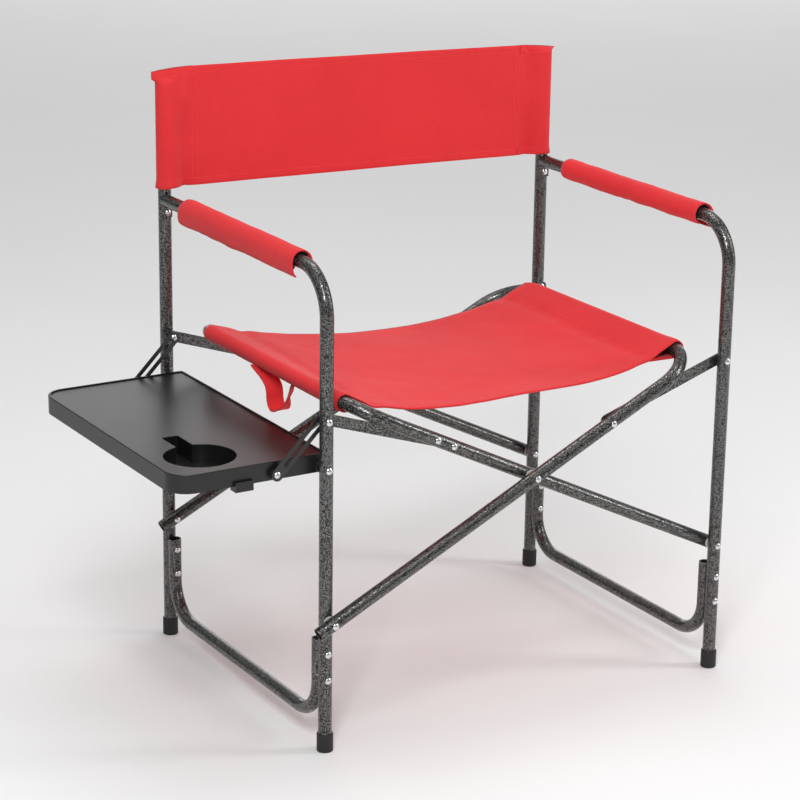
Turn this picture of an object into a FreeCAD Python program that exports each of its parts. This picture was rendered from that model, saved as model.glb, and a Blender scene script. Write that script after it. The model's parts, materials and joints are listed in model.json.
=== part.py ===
import FreeCAD, Part
import math
import os

# Folding director chair with a swing-up side tray.
# x runs across the chair (the tray is on the -x side), y from front (-) to back (+), z up.
# Everything is drawn with x = 0 midway between the two side frames, y = 0 midway between
# the left frame's posts and z = 0 on the floor, and moved to the stated origin at the end.

os.makedirs("parts", exist_ok=True)

Vector = FreeCAD.Vector
X_AXIS = Vector(1, 0, 0)
Y_AXIS = Vector(0, 1, 0)
Z_AXIS = Vector(0, 0, 1)

# ---- Driving dimensions, mm ----
tube_d = 18.0
tube_wall = 1.2
frame_x = 304.0             # the side frames stand at x = -frame_x and x = +frame_x
post_half_y = 228.0         # half the distance between the two posts of a side frame
layer = 19.0                # how far one tube passes in front of another: a tube and a washer

back_top_z = 816.0
back_bottom_z = 655.0
arm_z = 640.0
arm_bend = 60.0
seat_angle = 26.0           # degrees, seat tubes above the floor when the chair is open
seat_leg = 630.0            # from the lower pivot to the seat rail's axis
seat_bend = 66.0
seat_cloth_y = {"a": (-197.0, 170.0), "b": (-192.0, 176.0)}    # the cloth over each rail, front to back
lower_pivot_z = 182.0
upper_pivot_z = 449.0
link_joint = 470.6          # from a seat tube's lower pivot to its link's rivet
plain_rivet = 498.0         # from the lower pivot to the plain rivet on the tray side's seat tube
tube_tail = {"a": 23.0, "b": 9.0}    # how far a seat tube runs on past its lower pivot

side_rail_z = 38.0
side_rail_bend = 52.0
side_tube_top_z = 151.0
side_rivet_heights = (100.0, 136.0)

tray_hinge_z = 385.0
tray_top_z = 400.0
tray_deep = 23.0
tray_inner_x = -294.0
tray_outer_x = -506.0
tray_front_y = -210.0
tray_back_y = 200.0
tray_outer_corner = 30.0
tray_inner_corner = 6.0
tray_lip_width = 3.0
tray_lip_height = 1.6
strut_foot_x = -368.0       # the strut's rivet in the tray
cup_x = -438.0
cup_y = -142.0
cup_r = 46.0
mug_slot_width = 22.0
mug_slot_end_y = -55.0

# ---- Smaller dimensions, mm ----
tube_r = tube_d / 2.0
bore_r = tube_r - tube_wall
touch = 0.05                # clearance between two solids of one body that bear on each other
rivet_r = 2.5
rivet_hole_r = rivet_r + 0.05
head_r = 4.4
head_h = 1.9
small_head_h = 1.7
washer_r = 8.0
washer_t = 0.8
spacer_r = 6.0
spacer_clear = 0.1          # at each end of a spacer
link_rivet_gap = 0.3        # a link's rivet is parted here, where the chair's closed loop is opened
post_to_link = {"left": 2.8, "right": 0.4}     # at the front; the tray side's struts lie in between
rear_link_to_post = 0.5
post_to_strut = 0.4
tray_to_strut = 3.0
link_width = 15.0
link_t = 3.0
strut_width = 16.0
strut_t = 2.0
strut_slot_half = 2.8
strut_slot_start = 16.0     # from the tray's rivet to the slot
cap_r = 10.8
cap_h = 25.0
cap_floor = 3.0
side_tube_gap = 0.1         # between a post and the side tube riveted to it
arm_tab_width = 12.0
arm_tab_t = 2.0
arm_tab_bottom_z = 617.0
arm_rivet_z = 624.0
fabric_t = 1.2
sleeve_clear = 0.4
sleeve_outer_r = tube_r + sleeve_clear + fabric_t
back_post_top_z = 798.0
plug_depth = 14.0
pad_r = 19.5
pad_z = 635.5
pad_cover_t = 2.0
strap_width = 25.0
strap_t = 1.8
strap_y = (-62.0, 27.0)
strap_bottom_z = 387.0
seat_sag_z = 431.0          # height of the seat cloth at the middle
tray_lip_round = 1.2
tray_skin = 3.0
cup_rim_round = 0.8
mug_slot_round = 3.0
tray_skirt = 2.5
cup_wall = 2.0
cup_bottom_z = 374.0
hinge_boss_r = 7.5
clip_x = (-425.0, -400.0)
clip_z = (370.0, 383.0)
clip_proud = 5.0
clip_hook = 10.0

seat_sin = math.sin(math.radians(seat_angle))
seat_cos = math.cos(math.radians(seat_angle))
half_cross = frame_x / seat_cos            # lower pivot to centre pivot, along a seat tube
rail_x = frame_x - seat_leg * seat_cos     # the tray side's seat rail; the other is mirrored
rail_z = lower_pivot_z + seat_leg * seat_sin

# Where each side frame and each seat tube stands from front to back.
post_y = {
    "left": (-post_half_y, post_half_y),
    "right": (-post_half_y - layer, post_half_y - layer),
}
side_sign = {"left": -1.0, "right": 1.0}
seat_tube_y = {"a": post_y["right"], "b": post_y["left"]}
seat_tube_side = {"a": "left", "b": "right"}    # the frame that a seat tube is pivoted to


def fold_limits():
    """Fold angle of the seat tubes and of the links, in degrees, from open to fully folded.

    A link keeps its length when the seat tubes stand at two angles. The chair is open at the
    first and folded at the second.
    """
    rise = upper_pivot_z - lower_pivot_z
    folded_sin = 2 * rise * link_joint / (4 * half_cross * (link_joint - half_cross)) - seat_sin
    folded_angle = math.degrees(math.asin(folded_sin))
    link_angles = []
    for angle in (seat_angle, folded_angle):
        reach = (2 * half_cross - link_joint) * math.cos(math.radians(angle))
        lift = link_joint * math.sin(math.radians(angle)) - rise
        link_angles.append(math.degrees(math.atan2(lift, reach)))
    return folded_angle - seat_angle, link_angles[1] - link_angles[0]


def post_x(side):
    return side_sign[side] * frame_x


def on_seat_tube(tube, distance, y):
    """A point on a seat tube's leg, at a distance from its lower pivot."""
    side = seat_tube_side[tube]
    x = post_x(side) - side_sign[side] * distance * seat_cos
    return Vector(x, y, lower_pivot_z + distance * seat_sin)


# ---- Shapes used more than once ----
def rod_y(x, z, y_from, y_to, radius):
    return Part.makeCylinder(radius, y_to - y_from, Vector(x, y_from, z), Y_AXIS)


def ring_y(x, z, y_from, y_to, outer, inner):
    return rod_y(x, z, y_from, y_to, outer).cut(rod_y(x, z, y_from, y_to, inner))


def box(x_range, y_range, z_range):
    corner = Vector(x_range[0], y_range[0], z_range[0])
    size = [span[1] - span[0] for span in (x_range, y_range, z_range)]
    return Part.makeBox(*size, corner)


def rounded_path(points, bend):
    """Straight runs through the points, joined by tangent arcs of radius bend."""
    edges = []
    run_start = points[0]
    for before, corner, after in zip(points, points[1:], points[2:]):
        to_before = (before - corner).normalize()
        to_after = (after - corner).normalize()
        half_angle = to_before.getAngle(to_after) / 2.0
        trim = bend / math.tan(half_angle)
        arc_start = corner + to_before * trim
        arc_end = corner + to_after * trim
        inward = (to_before + to_after).normalize()
        arc_middle = corner + inward * (bend / math.sin(half_angle) - bend)
        edges.append(Part.LineSegment(run_start, arc_start).toShape())
        edges.append(Part.Arc(arc_start, arc_middle, arc_end).toShape())
        run_start = arc_end
    edges.append(Part.LineSegment(run_start, points[-1]).toShape())
    return Part.Wire(edges)


def bent_tube(points, bend, outer_r=tube_r, inner_r=bore_r):
    """A hollow tube along straight runs and bends."""
    path = rounded_path(points, bend)
    shells = []
    for radius in (outer_r, inner_r):
        circle = Part.Circle(points[0], points[1] - points[0], radius)
        shells.append(path.makePipeShell([Part.Wire(circle.toShape())], True, True))
    return shells[0].cut(shells[1])


def dome(x, y, z, outward, height=head_h):
    """A rivet's domed head on a face at y, standing out along y in the given sense."""
    rim = Vector(x + head_r, y, z)
    top = Vector(x, y + outward * height, z)
    ball_r = (head_r ** 2 + height ** 2) / (2 * height)
    rise = ball_r - height
    half_turn = math.atan2(head_r, rise) / 2.0
    middle = Vector(x + ball_r * math.sin(half_turn),
                    y + outward * (ball_r * math.cos(half_turn) - rise), z)
    centre = Vector(x, y, z)
    outline = Part.Wire([
        Part.LineSegment(centre, rim).toShape(),
        Part.Arc(rim, middle, top).toShape(),
        Part.LineSegment(top, centre).toShape(),
    ])
    return Part.Face(outline).revolve(centre, Y_AXIS, 360)


def rivet(x, z, y_from, y_to, front_head=True, back_head=True):
    """A shank along y between two faces, with a dome on each end that has a head."""
    solid = rod_y(x, z, y_from, y_to, rivet_r)
    if front_head:
        solid = solid.fuse(dome(x, y_from, z, -1.0))
    if back_head:
        solid = solid.fuse(dome(x, y_to, z, 1.0, small_head_h))
    return solid.removeSplitter()


def drill(solid, x, z, y, radius=rivet_hole_r):
    """A hole along y, right through the tube whose axis is at y."""
    return solid.cut(rod_y(x, z, y - 1.5 * tube_r, y + 1.5 * tube_r, radius))


# ---- Side frames ----
def rear_post(side):
    x, y = post_x(side), post_y[side][1]
    height = back_post_top_z - cap_floor
    post = Part.makeCylinder(tube_r, height, Vector(x, y, cap_floor))
    post = post.cut(Part.makeCylinder(bore_r, height, Vector(x, y, cap_floor)))
    holes = [lower_pivot_z, upper_pivot_z, arm_rivet_z, *side_rivet_heights]
    if side == "left":
        holes.append(tray_hinge_z)
    for z in holes:
        post = drill(post, x, z, y)
    return post


def front_arm_tube(side):
    """Front leg and arm rest in one tube, whose end is coped to the rear post."""
    x = post_x(side)
    front, rear = post_y[side]
    tube = bent_tube([Vector(x, front, cap_floor), Vector(x, front, arm_z), Vector(x, rear, arm_z)],
                     arm_bend)
    tab_face = rear - tube_r - touch
    tab = box((x - arm_tab_width / 2, x + arm_tab_width / 2),
              (tab_face - arm_tab_t, tab_face),
              (arm_tab_bottom_z, arm_z - bore_r))
    tube = tube.fuse(tab)
    tube = tube.cut(Part.makeCylinder(tube_r + touch, 200, Vector(x, rear, arm_z - 100)))
    tube = tube.cut(box((x - tube_d, x + tube_d), (rear, rear + tube_d), (arm_z - 20, arm_z + 20)))
    holes = [lower_pivot_z, upper_pivot_z, *side_rivet_heights]
    if side == "left":
        holes.append(tray_hinge_z)
    for z in holes:
        tube = drill(tube, x, z, front)
    return tube.cut(rod_y(x, arm_rivet_z, rear - 20, rear, rivet_hole_r))


def lower_side_tube(side):
    """The U of tube that joins the two posts of a side frame near the floor."""
    x = post_x(side)
    offset = tube_d + side_tube_gap
    front, rear = post_y[side][0] + offset, post_y[side][1] - offset
    corners = [(front, side_tube_top_z), (front, side_rail_z), (rear, side_rail_z), (rear, side_tube_top_z)]
    tube = bent_tube([Vector(x, y, z) for y, z in corners], side_rail_bend)
    for y in (front, rear):
        for z in side_rivet_heights:
            tube = drill(tube, x, z, y)
    return tube


def side_rivets(side):
    x = post_x(side)
    reach = tube_d + side_tube_gap
    front, rear = post_y[side]
    rivets = []
    for z in side_rivet_heights:
        rivets.append(rivet(x, z, front - tube_r, front + reach + tube_r))
        rivets.append(rivet(x, z, rear - reach - tube_r, rear + tube_r))
    return rivets


def arm_rivet(side):
    x, rear = post_x(side), post_y[side][1]
    return [rivet(x, arm_rivet_z, rear - tube_r - touch - arm_tab_t, rear + tube_r)]


def foot_cap(x, y):
    """A cup-shaped rubber foot with rounded edges."""
    cap = Part.makeCylinder(cap_r, cap_h, Vector(x, y, 0))
    rims = [edge for edge in cap.Edges if edge.Length > cap_r and edge.Curve.TypeId == "Part::GeomCircle"]
    cap = cap.makeFillet(1.2, rims)
    return cap.cut(Part.makeCylinder(tube_r + touch, cap_h, Vector(x, y, cap_floor)))


def post_plug(side):
    """The plug in a rear post's open top, under the back's sleeve."""
    x, y = post_x(side), post_y[side][1]
    flange = Part.makeCylinder(tube_r, 2.0, Vector(x, y, back_post_top_z))
    stem = Part.makeCylinder(bore_r - touch, plug_depth, Vector(x, y, back_post_top_z - plug_depth))
    return flange.fuse(stem).removeSplitter()


def arm_pad(side):
    """The arm rest's foam and its cloth cover, around the arm tube."""
    x = post_x(side)
    front, rear = {"left": (-175.0, 165.0), "right": (-190.0, 142.0)}[side]
    foam = rod_y(x, pad_z, front + 4, rear - 4, pad_r - pad_cover_t - touch)
    foam = foam.cut(rod_y(x, arm_z, front, rear, tube_r + touch))
    cover = ring_y(x, pad_z, front, rear, pad_r, pad_r - pad_cover_t)
    return foam, cover


# ---- Seat tubes, links and washers ----
def seat_tube_corners(tube):
    front, rear = seat_tube_y[tube]
    return [on_seat_tube(tube, -tube_tail[tube], front), on_seat_tube(tube, seat_leg, front),
            on_seat_tube(tube, seat_leg, rear), on_seat_tube(tube, -tube_tail[tube], rear)]


def seat_tube(tube):
    front, rear = seat_tube_y[tube]
    solid = bent_tube(seat_tube_corners(tube), seat_bend)
    distances = [0.0, half_cross, link_joint]
    if tube == "b":
        distances.append(plain_rivet)
    for y in (front, rear):
        for distance in distances:
            point = on_seat_tube(tube, distance, y)
            solid = drill(solid, point.x, point.z, y)
    return solid


def link_y(side):
    """Where a side's two links lie, as (low, high) in y: behind the front post, before the rear."""
    front_start = post_y[side][0] + tube_r + post_to_link[side]
    rear_end = post_y[side][1] - tube_r - rear_link_to_post
    return (front_start, front_start + link_t), (rear_end - link_t, rear_end)


def link_tube(side):
    """The seat tube that a side's links hold up: the one pivoted to the other side."""
    return "b" if side == "left" else "a"


def flat_bar(start, end, y_range, width):
    """A flat bar with round ends whose centres are at start and end."""
    along = (end - start).normalize()
    across = along.cross(Y_AXIS) * (width / 2.0)
    outline = Part.Wire([
        Part.LineSegment(start + across, end + across).toShape(),
        Part.Arc(end + across, end + along * (width / 2.0), end - across).toShape(),
        Part.LineSegment(end - across, start - across).toShape(),
        Part.Arc(start - across, start - along * (width / 2.0), start + across).toShape(),
    ])
    return Part.Face(outline).extrude(Y_AXIS * (y_range[1] - y_range[0]))


def link(side, place):
    """A link from a post's upper pivot to a seat tube, with its rivet's tail on the tube end."""
    y_low, y_high = link_y(side)[place]
    start = Vector(post_x(side), y_low, upper_pivot_z)
    end = on_seat_tube(link_tube(side), link_joint, y_low)
    bar = flat_bar(start, end, (y_low, y_high), link_width)
    bar = bar.cut(rod_y(start.x, start.z, y_low - 1, y_high + 1, rivet_hole_r))
    tail_outward = 1.0 if place == 0 else -1.0
    tail_y = y_high if place == 0 else y_low
    return bar, dome(end.x, tail_y, end.z, tail_outward, small_head_h)


def seat_tube_rivets(tube):
    """Rivets that stay with a seat tube: its link rivets' shanks and its plain rivets."""
    side = "left" if tube == "b" else "right"
    front, rear = seat_tube_y[tube]
    front_link, rear_link = link_y(side)
    point = on_seat_tube(tube, link_joint, 0)
    rivets = [
        rivet(point.x, point.z, front - tube_r, front_link[0] - link_rivet_gap, back_head=False),
        rivet(point.x, point.z, rear_link[1] + link_rivet_gap, rear + tube_r, front_head=False),
    ]
    if tube == "b":
        point = on_seat_tube(tube, plain_rivet, 0)
        rivets.append(rivet(point.x, point.z, front - tube_r, front + tube_r))
        rivets.append(rivet(point.x, point.z, rear - tube_r, rear + tube_r, front_head=False))
    return rivets


def crossing_y():
    """The two stretches of y, front and rear, where two tubes cross with a washer between."""
    return [(low - tube_r, high + tube_r)
            for low, high in zip(post_y["right"], post_y["left"])]


def crossing_rivets(x, z):
    return [rivet(x, z, y_from, y_to) for y_from, y_to in crossing_y()]


def crossing_washers(x, z):
    washers = []
    for y_from, y_to in crossing_y():
        middle = (y_from + y_to) / 2.0
        washers.append(ring_y(x, z, middle - washer_t / 2, middle + washer_t / 2, washer_r, rivet_hole_r))
    return washers


def upper_pivot_rivets(side):
    """Rivets that hold a side's links to its posts, and on the tray side its struts."""
    x = post_x(side)
    front, rear = post_y[side]
    front_link, rear_link = link_y(side)
    rear_start = strut_y()[1][0] if side == "left" else rear_link[0]
    return [
        rivet(x, upper_pivot_z, front - tube_r, front_link[1]),
        rivet(x, upper_pivot_z, rear_start, rear + tube_r),
    ]


# ---- Side tray ----
def strut_y():
    """Where the two struts lie, as (low, high) in y."""
    front_start = post_y["left"][0] + tube_r + post_to_strut
    rear_start = tray_back_y + tray_to_strut
    return (front_start, front_start + strut_t), (rear_start, rear_start + strut_t)


def rounded_block(inset, z_low, z_high):
    """The tray's outline, moved inward by inset, as a block."""
    block = box((tray_outer_x + inset, tray_inner_x - inset),
                (tray_front_y + inset, tray_back_y - inset), (z_low, z_high))
    for x, radius in ((tray_outer_x + inset, tray_outer_corner), (tray_inner_x - inset, tray_inner_corner)):
        corners = [edge for edge in block.Edges
                   if all(abs(vertex.Point.x - x) < 0.01 for vertex in edge.Vertexes)
                   and edge.Vertexes[0].Point.z != edge.Vertexes[1].Point.z]
        block = block.makeFillet(radius - inset, corners)
    return block


def cup_opening(radius, slot_half, z_low, z_high):
    """The round hole for a cup joined to the slot for a mug's handle."""
    height = z_high - z_low
    hole = Part.makeCylinder(radius, height, Vector(cup_x, cup_y, z_low))
    slot = box((cup_x - slot_half, cup_x + slot_half),
               (cup_y, mug_slot_end_y + slot_half - mug_slot_width / 2.0), (z_low, z_high))
    opening = hole.fuse(slot).removeSplitter()
    upright = [edge for edge in opening.Edges
               if isinstance(edge.Curve, Part.Line) and abs(edge.tangentAt(edge.FirstParameter).z) > 0.99
               and abs(edge.Vertexes[0].Point.x - cup_x) < slot_half + 0.01]
    return opening.makeFillet(mug_slot_round, upright)


def tray_top():
    """A moulded tray, open underneath, with the cup holder's well moulded into it."""
    bottom_z = tray_top_z - tray_deep
    lip_z = tray_top_z + tray_lip_height
    shell = rounded_block(0.0, bottom_z, lip_z)
    top_rims = [edge for edge in shell.Edges if all(v.Point.z > lip_z - 0.01 for v in edge.Vertexes)]
    shell = shell.makeFillet(tray_lip_round, top_rims)
    shell = shell.cut(rounded_block(tray_lip_width, tray_top_z, lip_z + 1))
    shell = shell.cut(rounded_block(tray_skirt, bottom_z - 1, tray_top_z - tray_skin))
    half = mug_slot_width / 2.0
    well = cup_opening(cup_r + cup_wall, half + cup_wall, cup_bottom_z, tray_top_z - 1)
    shell = shell.fuse(well)
    shell = shell.cut(cup_opening(cup_r, half, cup_bottom_z + cup_wall, tray_top_z + 1))
    cup_rims = [edge for edge in shell.Edges
                if all(abs(v.Point.z - tray_top_z) < 0.01 for v in edge.Vertexes)
                and edge.BoundBox.XMax < cup_x + cup_r + 1 and edge.BoundBox.XMin > cup_x - cup_r - 1
                and edge.BoundBox.YMin > cup_y - cup_r - 1 and edge.BoundBox.YMax < mug_slot_end_y + 1]
    shell = shell.makeFillet(cup_rim_round, cup_rims)
    shell = shell.cut(rod_y(-frame_x, tray_hinge_z, tray_front_y - 1, tray_back_y + 1, rivet_hole_r))
    return shell.cut(rod_y(strut_foot_x, tray_hinge_z, tray_front_y - 1, tray_back_y + 1, rivet_hole_r))


def tray_clip():
    """The small catch on the tray's front skirt, hooked under its lower edge."""
    front_y = tray_front_y - clip_proud
    face = box(clip_x, (front_y, tray_front_y - touch), clip_z)
    hook = box(clip_x, (front_y, tray_front_y + clip_hook),
               (clip_z[0], tray_top_z - tray_deep - touch))
    return face.fuse(hook).removeSplitter()


def strut(place):
    """A slotted strap from the tray's rivet up to the upper pivot, which slides in its slot."""
    y_low, y_high = strut_y()[place]
    foot = Vector(strut_foot_x, y_low, tray_hinge_z)
    head = Vector(-frame_x, y_low, upper_pivot_z)
    strap = flat_bar(foot, head, (y_low, y_high), strut_width)
    along = (head - foot).normalize()
    slot = flat_bar(foot + along * strut_slot_start, head, (y_low, y_high), 2 * strut_slot_half)
    return strap.cut(slot).cut(rod_y(foot.x, foot.z, y_low - 1, y_high + 1, rivet_hole_r))


def tray_hinge_rivets():
    front, rear = post_y["left"]
    return [
        rivet(-frame_x, tray_hinge_z, front - tube_r, tray_front_y + tray_skirt),
        rivet(-frame_x, tray_hinge_z, tray_back_y - tray_skirt, rear + tube_r),
    ]


def tray_hinge_spacers():
    """Bushes that hold the tray's skirt away from the posts."""
    front, rear = post_y["left"]
    spans = [(front + tube_r, tray_front_y), (tray_back_y, rear - tube_r)]
    return [
        ring_y(-frame_x, tray_hinge_z, low + spacer_clear, high - spacer_clear, hinge_boss_r, rivet_hole_r)
        for low, high in spans
    ]


def strut_rivets():
    front_strut, rear_strut = strut_y()
    return [
        rivet(strut_foot_x, tray_hinge_z, front_strut[0], tray_front_y + tray_skirt),
        rivet(strut_foot_x, tray_hinge_z, tray_back_y - tray_skirt, rear_strut[1]),
    ]


def strut_spacers():
    front_strut, rear_strut = strut_y()
    spans = [(front_strut[1], tray_front_y), (tray_back_y, rear_strut[0])]
    return [
        ring_y(strut_foot_x, tray_hinge_z, low + spacer_clear, high - spacer_clear, spacer_r, rivet_hole_r)
        for low, high in spans
    ]


def rear_strut_spacer():
    """The bush between the rear strut and the rear link on the upper pivot's rivet."""
    strut_face = strut_y()[1][1] + spacer_clear
    link_face = link_y("left")[1][0] - spacer_clear
    return ring_y(-frame_x, upper_pivot_z, strut_face, link_face, spacer_r, rivet_hole_r)


def front_link_spacer():
    """The spacer between the tray side's front link and its seat tube."""
    tube_face = seat_tube_y["b"][0] + tube_r + spacer_clear
    link_face = link_y("left")[0][0] - link_rivet_gap
    point = on_seat_tube("b", link_joint, 0)
    return ring_y(point.x, point.z, tube_face, link_face, spacer_r, rivet_hole_r)


# ---- Cloth ----
def back_sleeve(side):
    x, y = post_x(side), post_y[side][1]
    height = back_top_z - back_bottom_z
    outer = Part.makeCylinder(sleeve_outer_r, height, Vector(x, y, back_bottom_z))
    return outer.cut(Part.makeCylinder(tube_r + sleeve_clear, height, Vector(x, y, back_bottom_z)))


def back_panel():
    """The flat cloth between the two back sleeves."""
    reach = sleeve_outer_r + sleeve_clear
    left = Vector(post_x("left") + reach, post_y["left"][1], back_bottom_z)
    right = Vector(post_x("right") - reach, post_y["right"][1], back_bottom_z)
    half = Vector(0, fabric_t / 2.0, 0)
    outline = Part.makePolygon([left - half, right - half, right + half, left + half, left - half])
    return Part.Face(outline).extrude(Z_AXIS * (back_top_z - back_bottom_z))


def seat_sleeve(tube):
    """The cloth round a seat rail. It runs a little way into the rail's bends."""
    x = on_seat_tube(tube, seat_leg, 0).x
    around = bent_tube(seat_tube_corners(tube), seat_bend, sleeve_outer_r, tube_r + sleeve_clear)
    reach = seat_bend / 2.0
    return around.common(box((x - reach, x + reach), seat_cloth_y[tube], (rail_z - reach, rail_z + reach)))


def seat_panel():
    """The sagging cloth between the two seat sleeves."""
    reach = -rail_x - sleeve_outer_r - sleeve_clear
    edge_z = rail_z + tube_r - 1.0
    front, rear = seat_tube_y["b"][0] + seat_bend, seat_tube_y["a"][1] - seat_bend
    faces = []
    for drop in (0.0, fabric_t):
        faces.append(Part.Arc(Vector(-reach, front, edge_z - drop), Vector(0, front, seat_sag_z - drop),
                              Vector(reach, front, edge_z - drop)).toShape())
    sides = [Part.LineSegment(Vector(x, front, edge_z), Vector(x, front, edge_z - fabric_t)).toShape()
             for x in (-reach, reach)]
    outline = Part.Wire([faces[0], sides[1], faces[1], sides[0]])
    return Part.Face(outline).extrude(Y_AXIS * (rear - front))


def strap_loop():
    """A loop of webbing that hangs from the tray side's seat sleeve."""
    x = on_seat_tube("b", seat_leg, 0).x
    top_z = rail_z - sleeve_outer_r - 1.0
    loop_r = (strap_y[1] - strap_y[0]) / 2.0
    middle = (strap_y[0] + strap_y[1]) / 2.0
    centre_z = strap_bottom_z + loop_r
    x_range = (x - strap_width / 2, x + strap_width / 2)

    def u_block(radius):
        straight = box(x_range, (middle - radius, middle + radius), (centre_z, top_z))
        bottom = Part.makeCylinder(radius, strap_width, Vector(x_range[0], middle, centre_z), X_AXIS)
        upper_half = box(x_range, (middle - radius, middle + radius), (centre_z, centre_z + radius))
        return straight.fuse(bottom.cut(upper_half))

    return u_block(loop_r).cut(u_block(loop_r - strap_t)).removeSplitter()


# ---- Assembly ----
def build_nodes():
    nodes = {}
    for side in ("left", "right"):
        nodes[f"{side}_rear_post"] = rear_post(side)
        nodes[f"{side}_front_arm_tube"] = front_arm_tube(side)
        nodes[f"{side}_lower_side_tube"] = lower_side_tube(side)
        nodes[f"{side}_side_rivets"] = side_rivets(side)
        nodes[f"{side}_arm_end_rivet"] = arm_rivet(side)
        nodes[f"{side}_front_foot"] = foot_cap(post_x(side), post_y[side][0])
        nodes[f"{side}_rear_foot"] = foot_cap(post_x(side), post_y[side][1])
        nodes[f"{side}_post_plug"] = post_plug(side)
        nodes[f"{side}_arm_foam"], nodes[f"{side}_arm_cover"] = arm_pad(side)
        nodes[f"{side}_lower_pivot_rivets"] = crossing_rivets(post_x(side), lower_pivot_z)
        nodes[f"{side}_lower_pivot_washers"] = crossing_washers(post_x(side), lower_pivot_z)
        nodes[f"{side}_upper_pivot_rivets"] = upper_pivot_rivets(side)
        nodes[f"{side}_back_sleeve"] = back_sleeve(side)
        front_link, front_tail = link(side, 0)
        rear_link, rear_tail = link(side, 1)
        nodes[f"{side}_front_link"] = front_link
        nodes[f"{side}_rear_link"] = rear_link
        nodes[f"{side}_link_rivet_tails"] = [front_tail, rear_tail]

    centre_z = lower_pivot_z + half_cross * seat_sin
    nodes["seat_tube_a"] = seat_tube("a")
    nodes["seat_tube_b"] = seat_tube("b")
    nodes["seat_tube_a_rivets"] = seat_tube_rivets("a")
    nodes["seat_tube_b_rivets"] = seat_tube_rivets("b")
    nodes["centre_pivot_rivets"] = crossing_rivets(0, centre_z)
    nodes["centre_pivot_washers"] = crossing_washers(0, centre_z)
    nodes["front_link_spacer"] = front_link_spacer()
    nodes["rear_strut_spacer"] = rear_strut_spacer()

    nodes["tray_top"] = tray_top()
    nodes["tray_clip"] = tray_clip()
    nodes["front_tray_strut"] = strut(0)
    nodes["rear_tray_strut"] = strut(1)
    nodes["tray_hinge_rivets"] = tray_hinge_rivets()
    nodes["tray_hinge_spacers"] = tray_hinge_spacers()
    nodes["strut_rivets"] = strut_rivets()
    nodes["strut_spacers"] = strut_spacers()

    nodes["back_panel"] = back_panel()
    nodes["seat_panel"] = seat_panel()
    nodes["seat_sleeve_a"] = seat_sleeve("a")
    nodes["seat_sleeve_b"] = seat_sleeve("b")
    nodes["strap_loop"] = strap_loop()
    return {name: Part.makeCompound(shape) if isinstance(shape, list) else shape
            for name, shape in nodes.items()}


def origin_in_chair(nodes):
    """The middle of the chair's bounding box, at its lowest point."""
    bounds = FreeCAD.BoundBox()
    for shape in nodes.values():
        bounds.add(shape.optimalBoundingBox(False))
    return Vector((bounds.XMin + bounds.XMax) / 2, (bounds.YMin + bounds.YMax) / 2, bounds.ZMin)


nodes = build_nodes()
origin = origin_in_chair(nodes)
for name, shape in nodes.items():
    shape.translate(-origin)
    shape.exportStep(f"parts/{name}.step")
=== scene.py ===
import bpy
import json
import math
from mathutils import Matrix, Vector, noise


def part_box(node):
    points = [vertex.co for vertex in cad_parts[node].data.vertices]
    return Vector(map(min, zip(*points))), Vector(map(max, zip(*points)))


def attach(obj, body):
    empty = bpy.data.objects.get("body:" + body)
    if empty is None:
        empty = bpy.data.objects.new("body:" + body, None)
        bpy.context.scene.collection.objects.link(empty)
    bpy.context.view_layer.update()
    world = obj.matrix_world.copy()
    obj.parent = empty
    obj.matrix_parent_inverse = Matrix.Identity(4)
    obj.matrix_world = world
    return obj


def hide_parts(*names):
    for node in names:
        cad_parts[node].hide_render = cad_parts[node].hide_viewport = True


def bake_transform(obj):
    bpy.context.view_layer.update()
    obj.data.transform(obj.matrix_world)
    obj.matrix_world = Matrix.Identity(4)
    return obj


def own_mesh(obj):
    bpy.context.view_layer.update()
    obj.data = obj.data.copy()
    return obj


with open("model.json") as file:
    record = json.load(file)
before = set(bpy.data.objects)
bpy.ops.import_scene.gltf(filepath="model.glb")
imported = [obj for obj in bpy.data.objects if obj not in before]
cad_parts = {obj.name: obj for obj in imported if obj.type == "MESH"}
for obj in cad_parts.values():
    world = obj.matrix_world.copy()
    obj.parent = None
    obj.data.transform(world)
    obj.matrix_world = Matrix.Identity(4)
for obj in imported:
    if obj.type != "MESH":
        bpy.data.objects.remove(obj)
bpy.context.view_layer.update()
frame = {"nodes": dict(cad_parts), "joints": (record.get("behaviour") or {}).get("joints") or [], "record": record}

# ---- Places and sizes taken from the frame, in metres ----
MM = 0.001
SIDES = ("left", "right")
OUTWARD = {"left": -1.0, "right": 1.0}


def middle_of(node):
    low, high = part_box(node)
    return (low + high) / 2.0


def span_of(node, axis):
    low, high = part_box(node)
    return low[axis], high[axis]


rear_post = {side: middle_of(f"{side}_rear_post") for side in SIDES}
front_leg_y = {side: middle_of(f"{side}_front_foot").y for side in SIDES}
arm_x = {side: rear_post[side].x for side in SIDES}
tube_r = (span_of("left_rear_post", 0)[1] - span_of("left_rear_post", 0)[0]) / 2.0
arm_z = span_of("left_front_arm_tube", 2)[1] - 9 * MM
joints = {joint["name"]: joint for joint in frame["joints"]}
chair_middle = Vector((
    (rear_post["left"].x + rear_post["right"].x) / 2.0,
    (rear_post["left"].y + front_leg_y["left"]) / 2.0,
    0.0,
))
cloth_thick = 0.9 * MM
seat_bend = 66 * MM


def rail_measures(tube, pivot, outward):
    """A seat tube's rail: its place as (x, z), the way down its legs, and where it is straight."""
    low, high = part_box(tube)
    rail = Vector(((high.x if outward > 0 else low.x) - outward * tube_r, high.z - tube_r))
    x, _, z = joints[pivot]["pos_m"]
    down_the_leg = (Vector((x, z)) - rail).normalized()
    return rail, down_the_leg, low.y + tube_r + seat_bend, high.y - tube_r - seat_bend


RAILS = {
    "left": rail_measures("seat_tube_b", "right_lower_pivot", -1.0),
    "right": rail_measures("seat_tube_a", "fold", 1.0),
}


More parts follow.
